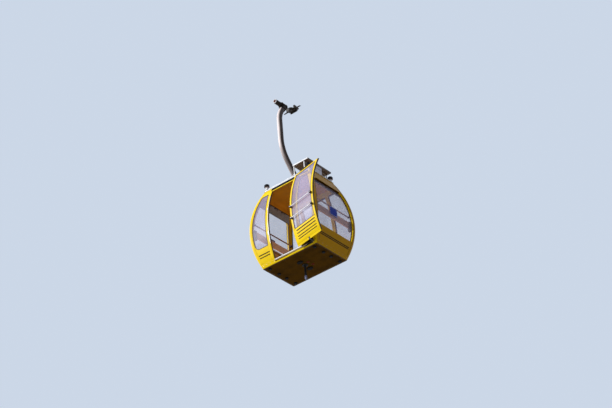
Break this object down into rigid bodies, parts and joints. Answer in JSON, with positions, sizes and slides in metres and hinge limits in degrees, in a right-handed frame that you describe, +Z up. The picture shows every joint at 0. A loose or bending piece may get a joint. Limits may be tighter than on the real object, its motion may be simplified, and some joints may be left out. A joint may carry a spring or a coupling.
{
  "type": "cable car cabin",
  "caption": "Hanging gondola cabin with bowed yellow walls, tinted windows, end benches, a swing-out door leaf, roof platform, hanger arm and sprung rope grip.",
  "frame": {"origin": "on the rope's centreline in the middle of the grip's jaws", "axes": "+X along the rope towards the end the open door leaf slides to, -Y the doorway side, +Z up"},
  "size_m": [1.9295, 1.5581, 4.425],
  "materials": {
    "grip_steel": "dark oiled casting",
    "shaft_steel": "machined",
    "roller_black": "matt",
    "hanger_paint": "galvanised grey, slightly weathered",
    "roof_white": "gloss",
    "lining_brown": "satin lining",
    "vent_grey": "perforated",
    "body_yellow": "gloss",
    "black_steel": "satin",
    "window": "tinted clear",
    "floor_brown": "underbody coating",
    "sill_aluminium": "ribbed",
    "bench_tan": "satin",
    "board_peach": "satin board",
    "rail_brown": "satin",
    "plate_blue": "blank, gloss",
    "white_frame": "gloss",
    "slab_brown": "dark board",
    "box_lilac": "pale, satin",
    "rubber_black": "matt",
    "black_plastic": "moulded"
  },
  "bodies": {
    "grip": {"grip_body": "grip_steel", "swing_shaft": "shaft_steel", "spring_housing": "grip_steel"},
    "moving_jaw": {"moving_jaw": "grip_steel"},
    "lever_roller": {"lever_roller": "roller_black"},
    "cabin": {"hanger_eye": "grip_steel", "hanger_tube": "hanger_paint", "hanger_base": "hanger_paint", "roof_shell": "roof_white", "roof_rim": "roof_white", "ceiling_panel": "lining_brown", "vent_panels": "vent_grey", "top_rail": "body_yellow", "arm_bracket": "black_steel", "corner_posts": "body_yellow", "middle_posts": "body_yellow", "upper_panels": "body_yellow", "lower_panels": "body_yellow", "windows": "window", "window_seals": "rubber_black", "floor_pan": "floor_brown", "bottom_rim": "body_yellow", "floor_plate": "sill_aluminium", "benches": "bench_tan", "backrests": "board_peach", "wall_brackets": "black_plastic", "grab_rails": "rail_brown", "number_plates": "plate_blue", "platform_frame": "white_frame", "platform_slab": "slab_brown", "roof_box": "box_lilac", "roller_stems": "white_frame", "underside_feet": "rubber_black", "guide_pin": "shaft_steel"},
    "roller_front_left": {"roller_front_left": "roller_black"},
    "roller_front_right": {"roller_front_right": "roller_black"},
    "roller_back_left": {"roller_back_left": "roller_black"},
    "roller_back_right": {"roller_back_right": "roller_black"},
    "door_arms": {"door_arms": "black_steel"},
    "door_leaf": {"leaf_frame": "body_yellow", "leaf_window": "window", "leaf_seals": "rubber_black", "leaf_bars": "white_frame", "leaf_bar_brackets": "black_plastic", "leaf_hinges": "black_steel"}
  },
  "joints": [
    {"name": "hanger_swing", "type": "hinge", "parent": "grip", "child": "cabin", "pos_m": [0, -0.336, -0.05], "axis": [0, 1, 0], "range_deg": [-30, 30]},
    {"name": "jaw_open", "type": "hinge", "parent": "grip", "child": "moving_jaw", "pos_m": [0, 0.032, 0.085], "axis": [1, 0, 0], "range_deg": [0, 18], "stiffness_Nm_per_rad": 400, "springref_deg": -20.05},
    {"name": "lever_roller_spin", "type": "hinge", "parent": "moving_jaw", "child": "lever_roller", "pos_m": [0.035, 0.13, 0.13], "axis": [1, 0, 0], "continuous": true},
    {"name": "door_arm_swing", "type": "hinge", "parent": "cabin", "child": "door_arms", "pos_m": [0.3475, -0.44571, -2.063], "axis": [0, 0, 1], "range_deg": [-159.01, 0]},
    {"name": "leaf_turn", "type": "hinge", "parent": "door_arms", "child": "door_leaf", "pos_m": [0.6791, -0.55153, -2.063], "axis": [0, 0, 1], "range_deg": [0, 170.52]},
    {"name": "roller_front_left_spin", "type": "hinge", "parent": "cabin", "child": "roller_front_left", "pos_m": [-0.56332, -0.36632, -1.884], "axis": [0, 0, 1], "continuous": true},
    {"name": "roller_back_left_spin", "type": "hinge", "parent": "cabin", "child": "roller_back_left", "pos_m": [-0.56332, 0.36632, -1.884], "axis": [0, 0, 1], "continuous": true},
    {"name": "roller_front_right_spin", "type": "hinge", "parent": "cabin", "child": "roller_front_right", "pos_m": [0.56332, -0.36632, -1.884], "axis": [0, 0, 1], "continuous": true},
    {"name": "roller_back_right_spin", "type": "hinge", "parent": "cabin", "child": "roller_back_right", "pos_m": [0.56332, 0.36632, -1.884], "axis": [0, 0, 1], "continuous": true}
  ],
  "couplings": [
    {"joint": "leaf_turn", "follows": "door_arm_swing", "ratio": -1.0723}
  ]
}
